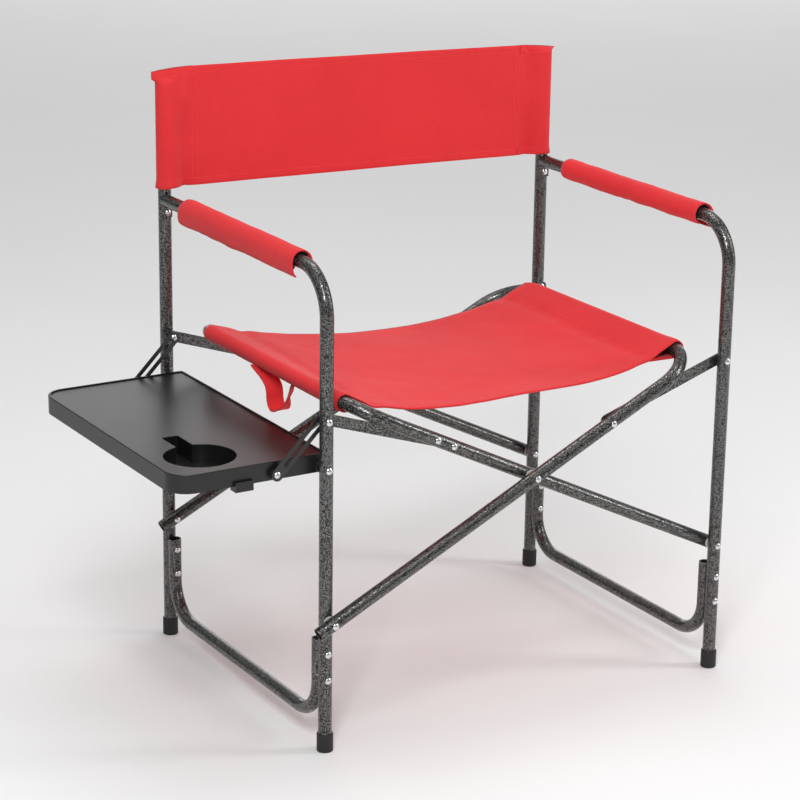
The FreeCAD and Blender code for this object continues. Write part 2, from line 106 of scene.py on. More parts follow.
def seat_rail_axis(side, y):
    """The rail's axis at y as (x, z): level along its straight part, bending in and down past it."""
    rail, down_the_leg, straight_start, straight_end = RAILS[side]
    past = max(straight_start - y, y - straight_end, 0.0)
    return rail + down_the_leg * (seat_bend - math.sqrt(seat_bend ** 2 - past ** 2))


seat_rail = {side: seat_rail_axis(side, chair_middle.y) for side in SIDES}


# ---- Materials ----
class Finish:
    """A material under construction: adds nodes to it and links them by name."""

    def __init__(self, name):
        self.material = bpy.data.materials.new(name)
        self.material.use_nodes = True
        self.tree = self.material.node_tree
        self.shader = self.tree.nodes["Principled BSDF"]

    def node(self, kind, values=None, **settings):
        made = self.tree.nodes.new(kind)
        for key, value in settings.items():
            setattr(made, key, value)
        for key, value in (values or {}).items():
            if isinstance(value, bpy.types.NodeSocket):
                self.tree.links.new(value, made.inputs[key])
            else:
                made.inputs[key].default_value = value
        return made

    def set(self, **values):
        """Sets or links sockets of the shader; underscores stand for spaces."""
        for key, value in values.items():
            socket = self.shader.inputs[key.replace("_", " ")]
            if isinstance(value, bpy.types.NodeSocket):
                self.tree.links.new(value, socket)
            else:
                socket.default_value = value

    def place(self):
        return self.node("ShaderNodeTexCoord").outputs["Object"]

    def noise(self, vector, scale, detail=3.0, roughness=0.5):
        values = {"Vector": vector, "Scale": scale, "Detail": detail, "Roughness": roughness}
        return self.node("ShaderNodeTexNoise", values).outputs["Fac"]

    def ramp(self, factor, stops):
        """A colour ramp; stops are (position, grey or colour)."""
        made = self.node("ShaderNodeValToRGB", {"Fac": factor})
        elements = made.color_ramp.elements
        while len(elements) < len(stops):
            elements.new(0.5)
        for element, (position, colour) in zip(elements, stops):
            element.position = position
            if isinstance(colour, (int, float)):
                colour = (colour, colour, colour)
            element.color = (*colour, 1.0)
        return made.outputs["Color"]

    def math(self, operation, first, second=None, third=None):
        made = self.node("ShaderNodeMath", operation=operation)
        for index, value in enumerate((first, second, third)):
            if isinstance(value, bpy.types.NodeSocket):
                self.tree.links.new(value, made.inputs[index])
            elif value is not None:
                made.inputs[index].default_value = value
        return made.outputs[0]

    def mix(self, factor, first, second, blend="MIX"):
        made = self.node("ShaderNodeMix", data_type="RGBA", blend_type=blend)
        for index, value in ((0, factor), (6, first), (7, second)):
            if isinstance(value, bpy.types.NodeSocket):
                self.tree.links.new(value, made.inputs[index])
            elif index == 0:
                made.inputs[index].default_value = value
            else:
                made.inputs[index].default_value = (*value, 1.0)
        return made.outputs[2]

    def bump(self, height, strength, distance, under=None):
        values = {"Height": height, "Strength": strength, "Distance": distance}
        if under is not None:
            values["Normal"] = under
        return self.node("ShaderNodeBump", values).outputs["Normal"]


def hammertone(name, valley, crown, speckle_size=1.9 * MM):
    """Powder coat that dries into small bright specks with dark paint between them."""
    finish = Finish(name)
    place = finish.place()
    wander = {"Vector": place, "Scale": 0.9 / speckle_size}
    wobble = finish.node("ShaderNodeTexNoise", wander).outputs["Color"]
    shift = finish.node("ShaderNodeVectorMath", {0: wobble, 1: (0.8 * MM,) * 3}, operation="MULTIPLY")
    moved = finish.node("ShaderNodeVectorMath", {0: place, 1: shift.outputs[0]}, operation="ADD")
    cells = finish.node(
        "ShaderNodeTexVoronoi",
        {"Vector": moved.outputs[0], "Scale": 1.0 / speckle_size, "Randomness": 1.0},
    ).outputs["Distance"]
    middle = tuple((low + high) * 0.22 for low, high in zip(valley, crown))
    colour = finish.ramp(cells, [(0.20, crown), (0.42, middle), (0.70, valley)])
    finish.set(
        Base_Color=colour,
        Metallic=0.7,
        Roughness=finish.math("MULTIPLY_ADD", cells, 0.20, 0.20),
        Normal=finish.bump(cells, 0.3, 0.4 * MM),
        Coat_Weight=0.35,
        Coat_Roughness=0.10,
    )
    return finish.material


def woven_cloth(name, colour, dark, thread=0.7 * MM):
    """Plain-woven polyester: over-and-under threads with painted shade in the gaps between them, slubs, and slow
    random changes of tone.
    """
    finish = Finish(name)
    flat = finish.node("ShaderNodeUVMap", uv_map="cloth").outputs["UV"]
    place = finish.place()
    split = finish.node("ShaderNodeSeparateXYZ", {"Vector": flat})
    turns = math.pi / thread
    across = finish.math("SINE", finish.math("MULTIPLY", split.outputs["X"], turns))
    along = finish.math("SINE", finish.math("MULTIPLY", split.outputs["Y"], turns))
    over = finish.math("MULTIPLY", across, along)
    ridges = finish.math("ADD", finish.math("ABSOLUTE", across), finish.math("ABSOLUTE", along))
    weave = finish.math("MULTIPLY_ADD", over, 0.5, finish.math("MULTIPLY", ridges, 0.5))
    stretched = finish.node("ShaderNodeMapping", {"Vector": flat, "Scale": (90.0, 900.0, 1.0)})
    slubs = finish.noise(stretched.outputs[0], 1.0)
    shade = finish.noise(place, 9.0, 3.0)
    # Painted shade: the low parts of the weave, the gaps between the threads, are pulled towards the dark red.
    tone = finish.mix(finish.ramp(weave, [(0.0, 0.55), (0.6, 0.0)]), colour, dark)
    tone = finish.mix(finish.ramp(slubs, [(0.42, 0.16), (0.62, 0.0)]), tone, dark)
    tone = finish.mix(finish.ramp(shade, [(0.35, 0.18), (0.65, 0.0)]), tone, dark)
    creases = finish.noise(place, 34.0, 4.0, 0.55)
    finish.set(
        Base_Color=tone,
        Roughness=0.78,
        Normal=finish.bump(weave, 0.22, 0.25 * MM, finish.bump(creases, 0.10, 4.0 * MM)),
        Sheen_Weight=0.10,
        Sheen_Roughness=0.45,
        Specular_IOR_Level=0.3,
    )
    return finish.material


def moulded_plastic(name, colour, grain=0.8 * MM, roughness=0.42, grain_depth=0.12):
    """Satin moulded plastic with a fine spark-eroded grain and faint handling marks."""
    finish = Finish(name)
    place = finish.place()
    grains = finish.noise(place, 1.0 / grain, 3.0, 0.6)
    marks = finish.noise(place, 14.0, 5.0, 0.6)
    lighter = tuple(min(1.0, c * 1.5 + 0.004) for c in colour)
    finish.set(
        Base_Color=finish.mix(finish.ramp(marks, [(0.4, 0.0), (0.75, 0.5)]), colour, lighter),
        Roughness=finish.math("MULTIPLY_ADD", marks, 0.06, roughness - 0.03),
        Normal=finish.bump(grains, grain_depth, 0.25 * MM),
        Specular_IOR_Level=0.5,
    )
    return finish.material


def plated_steel(name):
    """Bright plated steel with a light brushed haze."""
    finish = Finish(name)
    place = finish.place()
    haze = finish.noise(place, 900.0, 3.0)
    finish.set(
        Base_Color=finish.ramp(haze, [(0.3, (0.62, 0.62, 0.63)), (0.7, (0.86, 0.86, 0.87))]),
        Metallic=1.0,
        Roughness=finish.math("MULTIPLY_ADD", haze, 0.18, 0.14),
        Normal=finish.bump(haze, 0.05, 0.1 * MM),
    )
    return finish.material


RED = (0.80, 0.034, 0.040)
DARK_RED = (0.50, 0.014, 0.018)
cloth_finish = woven_cloth("red_woven_cloth", RED, DARK_RED)
thread_finish = moulded_plastic("red_thread", (0.85, 0.06, 0.07), 0.3 * MM, 0.7, 0.3)
finish_of_slot = {
    "frame_paint": hammertone("hammertone_grey", (0.016, 0.016, 0.016), (0.36, 0.355, 0.345)),
    "strut_paint": moulded_plastic("black_strut_paint", (0.018, 0.018, 0.018), 1.2 * MM, 0.32),
    "rivet_steel": plated_steel("plated_rivets"),
    "red_cloth": cloth_finish,
    "pad_foam": moulded_plastic("dark_foam", (0.02, 0.015, 0.015), 1.6 * MM, 0.95, 0.9),
    "tray_plastic": moulded_plastic("tray_satin_black", (0.006, 0.006, 0.006), roughness=0.34),
    "black_plastic": moulded_plastic("black_satin", (0.010, 0.010, 0.010), 0.5 * MM, 0.5),
    "nylon": moulded_plastic("natural_nylon", (0.62, 0.61, 0.57), 0.5 * MM, 0.5),
    "foot_rubber": moulded_plastic("foot_rubber_black", (0.012, 0.012, 0.012), 0.7 * MM, 0.62, 0.25),
}


def dress_cad_nodes():
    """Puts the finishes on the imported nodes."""
    slot_of = {part["node"]: part["material_slot"] for part in frame["record"]["subparts"]}
    for name, item in frame["nodes"].items():
        finish = finish_of_slot[slot_of[name]]
        for index in range(len(item.material_slots)):
            item.material_slots[index].material = finish


# ---- Mesh helpers ----
def smooth(value, low, high):
    """0 below low, 1 above high, and an S-curve in between."""
    share = min(1.0, max(0.0, (value - low) / (high - low)))
    return share * share * (3.0 - 2.0 * share)


def between(low, high, share):
    return low + (high - low) * share


def ripple(point, scale, amount, seed=0.0):
    """A smooth wandering offset, the same on every run."""
    return amount * noise.noise(Vector((point.x * scale + seed, point.y * scale, point.z * scale)))


def lengths_along(points):
    run = [0.0]
    for before, after in zip(points, points[1:]):
        run.append(run[-1] + (after - before).length)
    return run


def grid_normals(grid):
    """The unit normal at each point of a grid of points."""
    rows, columns = len(grid), len(grid[0])
    normals = []
    for i in range(rows):
        line = []
        for j in range(columns):
            along = grid[min(i + 1, rows - 1)][j] - grid[max(i - 1, 0)][j]
            across = grid[i][min(j + 1, columns - 1)] - grid[i][max(j - 1, 0)]
            line.append(across.cross(along).normalized())
        normals.append(line)
    return normals


def add_mesh(name, points, faces, finish):
    mesh = bpy.data.meshes.new(name)
    mesh.from_pydata(points, [], faces)
    mesh.materials.append(finish)
    mesh.shade_smooth()
    made = bpy.data.objects.new(name, mesh)
    bpy.context.scene.collection.objects.link(made)
    return made


def grid_faces(rows, columns):
    """The four-cornered faces of a grid of points listed row by row."""
    faces = []
    for i in range(rows - 1):
        for j in range(columns - 1):
            corner = i * columns + j
            faces.append((corner, corner + 1, corner + columns + 1, corner + columns))
    return faces


def cloth_piece(name, grid, across, along, thick=cloth_thick):
    """A cloth piece from a grid of points; across and along are its flat measures, for the weave."""
    rows, columns = len(grid), len(grid[0])
    points = [point for row in grid for point in row]
    made = add_mesh(name, points, grid_faces(rows, columns), cloth_finish)
    layer = made.data.uv_layers.new(name="cloth")
    for loop in made.data.loops:
        row, column = divmod(loop.vertex_index, columns)
        layer.data[loop.index].uv = (across[column], along[row])
    shell = made.modifiers.new("thickness", "SOLIDIFY")
    shell.thickness = thick
    shell.offset = 0.0
    return made


def layered_piece(name, grid, normals, across, along, thick=cloth_thick):
    """A closed cloth piece whose layers keep the normals of the larger cloth it is cut from."""
    rows, columns = len(grid), len(grid[0])
    count = rows * columns
    offsets = [normal * thick / 2.0 for row in normals for normal in row]
    flat = [point for row in grid for point in row]
    points = [point + offset for point, offset in zip(flat, offsets)]
    points += [point - offset for point, offset in zip(flat, offsets)]
    faces = []
    for quad in grid_faces(rows, columns):
        faces.append(quad)
        faces.append(tuple(count + index for index in reversed(quad)))
    layer_faces = len(faces)
    rim = list(range(columns))
    rim += [i * columns + columns - 1 for i in range(1, rows)]
    rim += [(rows - 1) * columns + j for j in range(columns - 2, -1, -1)]
    rim += [i * columns for i in range(rows - 2, 0, -1)]
    for here, following in zip(rim, rim[1:] + rim[:1]):
        faces.append((following, here, here + count, following + count))
    made = add_mesh(name, points, faces, cloth_finish)
    layer = made.data.uv_layers.new(name="cloth")
    corner_normals = []
    for polygon in made.data.polygons:
        for index in polygon.loop_indices:
            vertex = made.data.loops[index].vertex_index
            row, column = divmod(vertex % count, columns)
            layer.data[index].uv = (across[column], along[row])
            if polygon.index >= layer_faces:
                corner_normals.append(polygon.normal.copy())
            else:
                corner_normals.append(normals[row][column] * (1.0 if vertex < count else -1.0))
    made.data.normals_split_custom_set(corner_normals)
    return made


def with_hems(grid, normals, depth, roll=1.5 * MM):
    """Adds to a grid of rows a hem folded under at its first and last edges."""
    def under(row, edge, inward_share):
        return [point + (inner - point).normalized() * depth * inward_share - normal * roll
                for point, inner, normal in zip(grid[row], grid[edge], normals[row])]

    first = [under(0, 1, 1.0), under(0, 1, 0.12)]
    last = [under(-1, -2, 0.12), under(-1, -2, 1.0)]
    return first + grid + last


def stitches(name, line, normals, pitch=3.6 * MM, long=2.5 * MM, thick=0.38 * MM):
    """A row of thread stitches lying on a line of points, each standing a little proud."""
    run = lengths_along(line)
    points, faces = [], []
    segment = 0
    for count in range(int(run[-1] / pitch)):
        middle = (count + 0.5) * pitch
        while run[segment + 1] < middle:
            segment += 1
        share = (middle - run[segment]) / (run[segment + 1] - run[segment])
        centre = line[segment].lerp(line[segment + 1], share)
        ahead = (line[segment + 1] - line[segment]).normalized()
        up = normals[segment].lerp(normals[segment + 1], share).normalized()
        side = ahead.cross(up).normalized()
        start = len(points)
        centre = centre + up * (cloth_thick / 2.0)
        points.append(centre - ahead * long / 2.0 - up * thick)
        for share_along in (-0.3, 0.3):
            for turn in range(6):
                angle = math.pi * turn / 3.0
                points.append(centre + ahead * long * share_along
                              + (side * math.cos(angle) + up * math.sin(angle)) * thick)
        points.append(centre + ahead * long / 2.0 - up * thick)
        first, second, end = start + 1, start + 7, start + 13
        for turn in range(6):
            following = (turn + 1) % 6
            faces.append((start, first + following, first + turn))
            faces.append((first + turn, first + following, second + following, second + turn))
            faces.append((second + turn, second + following, end))
    return add_mesh(name, points, faces, thread_finish)


# ---- Seat ----
SEAT_FRONT = {"left": chair_middle.y - 191 * MM, "right": chair_middle.y - 197 * MM}
SEAT_BACK = {"left": chair_middle.y + 176 * MM, "right": chair_middle.y + 170 * MM}
SEAT_POCKET = 45 * MM
SEAT_WRAP = tube_r + 1.4 * MM
SEAT_HALF = (seat_rail["right"].x - seat_rail["left"].x) / 2.0
SLEEVE_INSIDE = 250 * MM
WAVES_END = 235 * MM
WAVES_FADE = 50 * MM


def seat_section(share):
    """The seat's line across the chair, from one seam under the rail to the other.

    share runs from 0 at the front edge to 1 at the back. Returns points relative to the middle
    of the chair as (x, z), and the indexes where the upper layer starts and ends.
    """
    drop = between(40 * MM, 42 * MM, share)
    power = between(3.7, 2.2, smooth(share, 0.0, 1.0))
    lowest_x = between(-15 * MM, 40 * MM, smooth(share, 0.1, 1.0))
    rail_z = seat_rail["left"].y
    loose = 1.6 * MM * (1.0 - smooth(share, 0.0, 0.12)) + 0.8 * MM * smooth(share, 0.9, 1.0)
    wrap = SEAT_WRAP + loose
    slope = math.atan(drop * power / SEAT_HALF) * 0.8
    top_x = SEAT_HALF - wrap * math.sin(slope)
    top_z = rail_z + wrap * math.cos(slope)
    seam_x = SEAT_HALF - SEAT_POCKET

    def upper(x):
        reach = (x - lowest_x) / (top_x - math.copysign(1.0, x - lowest_x) * lowest_x)
        notch = 3.0 * MM * math.exp(-((abs(x) - seam_x) / (12 * MM)) ** 2)
        return top_z - drop * (1.0 - abs(reach) ** power) - notch

    def pocket(sign):
        """The layer under the rail and round it, from the seam to where the top layer leaves it."""
        seam_z = upper(sign * seam_x) - 1.6 * MM
        to_seam = Vector((SEAT_HALF - seam_x, seam_z - rail_z))
        reach = math.atan2(to_seam.y, to_seam.x)
        low_angle = reach - math.acos(wrap / to_seam.length)
        top_angle = math.pi / 2.0 - slope - 2.0 * math.pi
        seam = Vector((-seam_x, seam_z))
        tangent = Vector((-SEAT_HALF + wrap * math.cos(low_angle), rail_z + wrap * math.sin(low_angle)))
        line = [seam.lerp(tangent, step / 6.0) for step in range(6)]
        for step in range(17):
            angle = between(low_angle, top_angle, step / 16.0)
            line.append(Vector((-SEAT_HALF + wrap * math.cos(angle), rail_z + wrap * math.sin(angle))))
        return [Vector((-sign * point.x, point.y)) for point in line]

    left, right = pocket(-1.0), pocket(1.0)
    steps = 96
    top = [top_x * (2.0 * step / steps - 1.0) for step in range(1, steps)]
    line = left + [Vector((x, upper(x))) for x in top] + list(reversed(right))
    return line, len(left) - 1, len(line) - len(right)


def build_seat():
    """The seat cloth: one sheet, folded round each rail and stitched back to itself."""
    rows = 74
    grid = []
    for i in range(rows + 1):
        share = i / rows
        line, first_upper, last_upper = seat_section(share)
        row = []
        for index, (x, z) in enumerate(line):
            across = smooth(x, -SLEEVE_INSIDE, SLEEVE_INSIDE)
            front = between(SEAT_FRONT["left"], SEAT_FRONT["right"], across)
            back = between(SEAT_BACK["left"], SEAT_BACK["right"], across)
            y = between(front, back, share)
            side = "left" if x < 0 else "right"
            bend = seat_rail_axis(side, y) - seat_rail[side]
            weight = min(1.0, abs(x) / SEAT_HALF) ** 2
            point = Vector((chair_middle.x + x + bend.x * weight, y, z + bend.y * weight))
            if first_upper < index < last_upper:
                calm = max(0.0, min(1.0, (WAVES_END - abs(x)) / WAVES_FADE))
                point.z += calm * (ripple(point, 9.0, 2.4 * MM) + ripple(point, 34.0, 0.5 * MM, 7.0))
                pull = math.exp(-((abs(x) - SEAT_HALF + SEAT_POCKET) / (16 * MM)) ** 2)
                point.z += pull * ripple(point, 42.0, 1.0 * MM, 19.0)
            row.append(point)
        grid.append(row)
    normals = grid_normals(grid)
    upper_side = normals[rows // 2][len(grid[0]) // 2].z
    if upper_side < 0:
        normals = [[-normal for normal in row] for row in normals]
    across = lengths_along(grid[rows // 2])
    hemmed = with_hems(grid, normals, 12 * MM)
    along = lengths_along([row[len(row) // 2] for row in hemmed])
    seat = cloth_piece("seat_cloth", hemmed, across, along)
    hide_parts("seat_panel", "seat_sleeve_a", "seat_sleeve_b")

    threads = []
    columns = len(grid[0])
    inner = first_upper + 1
    seam_x = SEAT_HALF - SEAT_POCKET
    for side, sign in OUTWARD.items():
        for inset in (2 * MM, 9 * MM):
            target = chair_middle.x + sign * (seam_x + inset)
            upper_columns = range(inner + 1, columns - inner - 1)
            column = min(upper_columns, key=lambda j: abs(grid[rows // 2][j].x - target))
            threads.append(stitches(f"seat_{side}_seam_thread_{int(inset / MM)}",
                                    [row[column] for row in grid], [row[column] for row in normals]))
    for label, row in (("front", 2), ("back", rows - 2)):
        threads.append(stitches(f"seat_{label}_hem_thread", grid[row][inner:columns - inner],
                                normals[row][inner:columns - inner]))
    for piece in [seat, *threads]:
        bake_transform(piece)
    return seat


# ---- Back ----
BACK_SEAM = 43 * MM
BACK_WRAP = tube_r + 1.3 * MM
BACK_SAG = 3 * MM
FLAT_START = 13 * MM
POCKET_OUTER = 20 * MM
LENS_OPENING = 5.5 * MM
BACK_EDGES = {
    # Heights of the bottom and top edges at each end, at each seam and in the middle.
    "left_end": (657 * MM, 817 * MM),
    "left_seam": (656 * MM, 821.5 * MM),
    "middle": (653.5 * MM, 817.5 * MM),
    "right_seam": (651 * MM, 813.5 * MM),
    "right_end": (651.5 * MM, 807 * MM),
}


def height_share_of_plug(side):
    """How far up its pocket the plug in a post's top reaches, from 0 to 1."""
    low, high = BACK_EDGES[f"{side}_end"]
    return (span_of(f"{side}_post_plug", 2)[1] - low) / (high - low)


PLUG_TOP_SHARE = {side: height_share_of_plug(side) for side in SIDES}


def pocket_outline(side, height_share):
    """A back pocket's line from its seam at the back, round the post, to its seam in front.

    Points are (outward, forward) from the post's axis. Above the post's top the pocket is empty
    and closes to a lens with a pointed outer edge.
    """
    wrap = BACK_WRAP + 1.6 * MM * (1.0 - smooth(height_share, 0.0, 0.08))
    slant = math.asin(wrap / BACK_SEAM)
    seam = Vector((-BACK_SEAM, 0.0))
    steps, round_steps = 8, 18
    tangent_angle = math.pi / 2.0 + slant
    tangent = Vector((math.cos(tangent_angle), math.sin(tangent_angle))) * wrap
    front = [seam.lerp(tangent, step / steps) for step in range(steps)]
    angles = [tangent_angle * (1.0 - step / round_steps) for step in range(round_steps + 1)]
    half_round = [Vector((math.cos(angle), math.sin(angle))) * wrap for angle in angles]
    half = front + half_round
    run = lengths_along(half)
    empty = []
    tip = run[-1] - BACK_SEAM
    for length in run:
        share = length / run[-1]
        opening = LENS_OPENING * math.sin(math.pi * share) ** 0.8
        empty.append(Vector((between(-BACK_SEAM, tip, share), opening)))
    opened = smooth(height_share, PLUG_TOP_SHARE[side] + 0.01, PLUG_TOP_SHARE[side] + 0.05)
    front_half = [filled.lerp(lens, opened) for filled, lens in zip(half, empty)]
    back_half = [Vector((point.x, -point.y)) for point in front_half]
    return back_half[:-1] + list(reversed(front_half))


def heights_between(first, second, share):
    """Bottom and top heights of the back cloth, part of the way from one named place to the next."""
    return tuple(between(a, b, share) for a, b in zip(BACK_EDGES[first], BACK_EDGES[second]))


def panel_heights(share):
    """Bottom and top heights along the panel, from the left seam to the right."""
    if share < 0.5:
        return heights_between("left_seam", "middle", share * 2.0)
    return heights_between("middle", "right_seam", share * 2.0 - 1.0)


def pocket_point(side, offset, height_share):
    """A point of a back pocket; in front, the cloth dips between the post and the seam."""
    out_share = min(1.0, max(0.0, (offset.x + BACK_SEAM) / (BACK_SEAM + POCKET_OUTER)))
    low, high = heights_between(f"{side}_seam", f"{side}_end", out_share)
    point = Vector((rear_post[side].x + OUTWARD[side] * offset.x, rear_post[side].y - offset.y,
                    between(low, high, height_share)))
    deepest = 0.75 * BACK_SEAM
    dip = smooth(-offset.x, FLAT_START, deepest) * smooth(-offset.x, BACK_SEAM, deepest)
    if offset.y > 0.0:
        point.y += dip * (4.5 * MM + ripple(point, 16.0, 7.0 * MM, 13.0))
    else:
        point.y += 1.0 * MM
    return point


def back_row(height_share):
    """One level line of the back cloth, from the left pocket's back seam to the right's."""
    outlines = {side: pocket_outline(side, height_share) for side in SIDES}
    seam = {side: rear_post[side] - Vector((OUTWARD[side] * BACK_SEAM, 0, 0)) for side in SIDES}
    line = [pocket_point("left", offset, height_share) for offset in outlines["left"]]
    steps = 72
    for step in range(1, steps):
        share = step / steps
        low, high = panel_heights(share)
        point = seam["left"].lerp(seam["right"], share)
        point.z = between(low, high, height_share)
        calm = math.sin(math.pi * share)
        point.y += calm * (BACK_SAG + ripple(point, 7.0, 3.0 * MM, 3.0))
        point.y += ripple(point, 24.0, 0.7 * MM, 11.0) * min(1.0, 3.0 * calm)
        line.append(point)
    line += [pocket_point("right", offset, height_share) for offset in reversed(outlines["right"])]
    return line


def build_back():
    """The back cloth: a pocket round each post and a panel in two halves, each riding on its side's frame."""
    rows = 34
    grid = [back_row(i / rows) for i in range(rows + 1)]
    normals = grid_normals(grid)
    if normals[rows // 2][len(grid[0]) // 2].y > 0:
        normals = [[-normal for normal in row] for row in normals]
    across = lengths_along(grid[rows // 2])
    hemmed = with_hems(grid, normals, 10 * MM)
    along = lengths_along([row[len(row) // 2] for row in hemmed])
    columns = len(grid[0])
    middle = columns // 2
    level = grid[rows // 2]

    def near_post(side, indexes):
        edge = rear_post[side].x - OUTWARD[side] * FLAT_START
        return min(indexes, key=lambda j: abs(level[j].x - edge))

    outline_count = len(pocket_outline("left", 0.5))
    half_outline = outline_count // 2
    left_back = near_post("left", range(0, half_outline))
    left_front = near_post("left", range(half_outline, outline_count))
    right_front = near_post("right", range(columns - outline_count, columns - half_outline))
    right_back = near_post("right", range(columns - half_outline, columns))
    spans = {
        "back_left_lining": (0, left_back, "left", left_back),
        "back_left_pocket": (left_back, left_front, "left", None),
        "back_left_panel": (left_front, middle, "left", left_front),
        "back_right_panel": (middle, right_front, "right", right_front),
        "back_right_pocket": (right_front, right_back, "right", None),
        "back_right_lining": (right_back, columns - 1, "right", right_back),
    }
    replaced = {
        "back_left_pocket": ["left_back_sleeve"],
        "back_right_pocket": ["right_back_sleeve"],
        "back_left_panel": ["back_panel"],
    }
    layer_normals = grid_normals(hemmed)
    for name, (first, last, side, anchor) in spans.items():
        part = [row[first:last + 1] for row in hemmed]
        piece = layered_piece(name, part, [row[first:last + 1] for row in layer_normals],
                              across[first:last + 1], along)
        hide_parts(*replaced.get(name, []))
        gather_back(piece, side, level[anchor] if anchor is not None else None)

    left_anchor, right_anchor = level[left_front], level[right_front]
    for side, anchor, first, last in (("left", left_anchor, left_front, middle),
                                      ("right", right_anchor, middle, right_front)):
        for inset in (0, 7 * MM):
            target = rear_post[side].x - OUTWARD[side] * (BACK_SEAM + inset)
            column = min(range(first, last + 1), key=lambda j: abs(level[j].x - target))
            thread = stitches(f"back_{side}_seam_thread_{int(inset / MM)}",
                              [row[column] for row in grid], [row[column] for row in normals])
            gather_back(thread, side, anchor)
        for label, row in (("bottom", 2), ("top", rows - 2)):
            thread = stitches(f"back_{side}_{label}_hem_thread", grid[row][first:last + 1],
                              normals[row][first:last + 1])
            gather_back(thread, side, anchor)


def gather_back(piece, side, anchor):
    """Rides on the side's frame; a piece with an anchor gets a mesh of its own."""
    if anchor is not None:
        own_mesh(piece)
    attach(piece, f"{side}_frame")


# ---- Arm pads ----
PAD_RADIUS = 14.8 * MM
PAD_WRAP = math.radians(152.0)
FOAM_INSET = 7 * MM
PAD_TRIM = {"left": (12 * MM, 11 * MM), "right": (3 * MM, 7 * MM)}


def pad_point(side, y, turn):
    """A point of a pad's cover; turn runs from -1 at the inner lower edge, over the top, to 1.

    The outer edge, at 1, hangs lower as a loose flap.
    """
    angle = math.pi / 2.0 - turn * PAD_WRAP
    flap = smooth(turn, 0.55, 1.0)
    out = math.cos(angle) * PAD_RADIUS + 3.0 * MM * flap
    up = math.sin(angle) * PAD_RADIUS - 5.5 * MM * flap
    point = Vector((arm_x[side] + OUTWARD[side] * out, y, arm_z + up))
    lower = smooth(abs(turn), 0.7, 1.0)
    wave = Vector((0.0, y, 0.0))
    point.z += lower * ripple(wave, 24.0, 1.6 * MM, 31.0 if turn > 0.0 else 47.0)
    away = Vector((point.x - arm_x[side], 0, point.z - arm_z)).normalized()
    return point + away * (ripple(point, 26.0, 0.9 * MM, 5.0) + ripple(point, 70.0, 0.3 * MM, 9.0))


def build_arm_pad(side):
    """The cloth cover and the foam round the arm tube."""
    front, back = span_of(f"{side}_arm_cover", 1)
    front += PAD_TRIM[side][0]
    back -= PAD_TRIM[side][1]
    steps, around = 72, 48
    grid = []
    for i in range(steps + 1):
        share = i / steps
        row = []
        for step in range(around + 1):
            turn = between(-1.0, 1.0, step / around)
            flare = 3.0 * MM * smooth(turn, 0.0, 0.9)
            row.append(pad_point(side, between(front - flare, back + flare, share), turn))
        grid.append(row)
    normals = grid_normals(grid)
    if normals[steps // 2][around // 2].z < 0:
        normals = [[-normal for normal in row] for row in normals]
    hemmed = with_hems(grid, normals, 9 * MM)
    across = lengths_along(grid[steps // 2])
    along = lengths_along([row[around // 2] for row in hemmed])
    cover = cloth_piece(f"{side}_pad_cover", hemmed, across, along)
    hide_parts(f"{side}_arm_cover")
    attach(cover, f"{side}_frame")

    foam_steps, foam_around = 12, 32
    foam_wrap = math.radians(145.0)
    radius = tube_r + 2.5 * MM
    points = []
    for i in range(foam_steps + 1):
        y = between(front + FOAM_INSET, back - FOAM_INSET, i / foam_steps)
        for step in range(foam_around + 1):
            angle = math.pi / 2.0 - between(-1.0, 1.0, step / foam_around) * foam_wrap
            points.append(Vector((arm_x[side] + OUTWARD[side] * math.cos(angle) * radius, y,
                                  arm_z + math.sin(angle) * radius)))
    foam = add_mesh(f"{side}_pad_foam", points, grid_faces(foam_steps + 1, foam_around + 1),
                    finish_of_slot["pad_foam"])
    shell = foam.modifiers.new("thickness", "SOLIDIFY")
    shell.thickness = 4.2 * MM
    shell.offset = 0.0
    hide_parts(f"{side}_arm_foam")
    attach(foam, f"{side}_frame")


# ---- Strap ----
def build_strap():
    """The webbing loop sewn under the tray-side rail."""
    low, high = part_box("strap_loop")
    mid_y = (low.y + high.y) / 2.0
    height = high.z - low.z
    route = [(50, 1.06), (36, 0.98), (20, 0.88), (9, 0.76), (5, 0.62), (4, 0.46), (0, 0.32), (-7, 0.25),
             (-15, 0.29), (-22, 0.40), (-28, 0.55), (-35, 0.72), (-43, 0.90), (-50, 1.04)]
    controls = [Vector((0, mid_y + y * MM, low.z + share * height)) for y, share in route]
    span_steps, wide_steps = 5, 10
    line = []
    for index in range(len(controls) - 1):
        before = controls[max(index - 1, 0)]
        after = controls[min(index + 2, len(controls) - 1)]
        start, end = controls[index], controls[index + 1]
        for step in range(span_steps):
            share = step / span_steps
            tangent_start, tangent_end = (end - before) / 2.0, (after - start) / 2.0
            line.append(start * (2 * share ** 3 - 3 * share ** 2 + 1)
                        + tangent_start * (share ** 3 - 2 * share ** 2 + share)
                        + end * (-2 * share ** 3 + 3 * share ** 2)
                        + tangent_end * (share ** 3 - share ** 2))
    line.append(controls[-1])
    middle_x = (low.x + high.x) / 2.0
    grid = []
    for index, point in enumerate(line):
        ahead = (line[min(index + 1, len(line) - 1)] - line[max(index - 1, 0)]).normalized()
        twist = math.radians(58.0) * smooth(index / len(line), 0.55, 0.85)
        wide = Vector((math.cos(twist), 0, 0)) + ahead.cross(Vector((1, 0, 0))) * math.sin(twist)
        centre = Vector((middle_x, point.y, point.z))
        grid.append([centre + wide * between(low.x - middle_x, high.x - middle_x, step / wide_steps)
                     for step in range(wide_steps + 1)])
    along = lengths_along(line)
    across = [25 * MM * step / wide_steps for step in range(wide_steps + 1)]
    strap = cloth_piece("strap_webbing", grid, across, along, 1.7 * MM)
    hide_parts("strap_loop")
    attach(strap, "seat_tube_b")


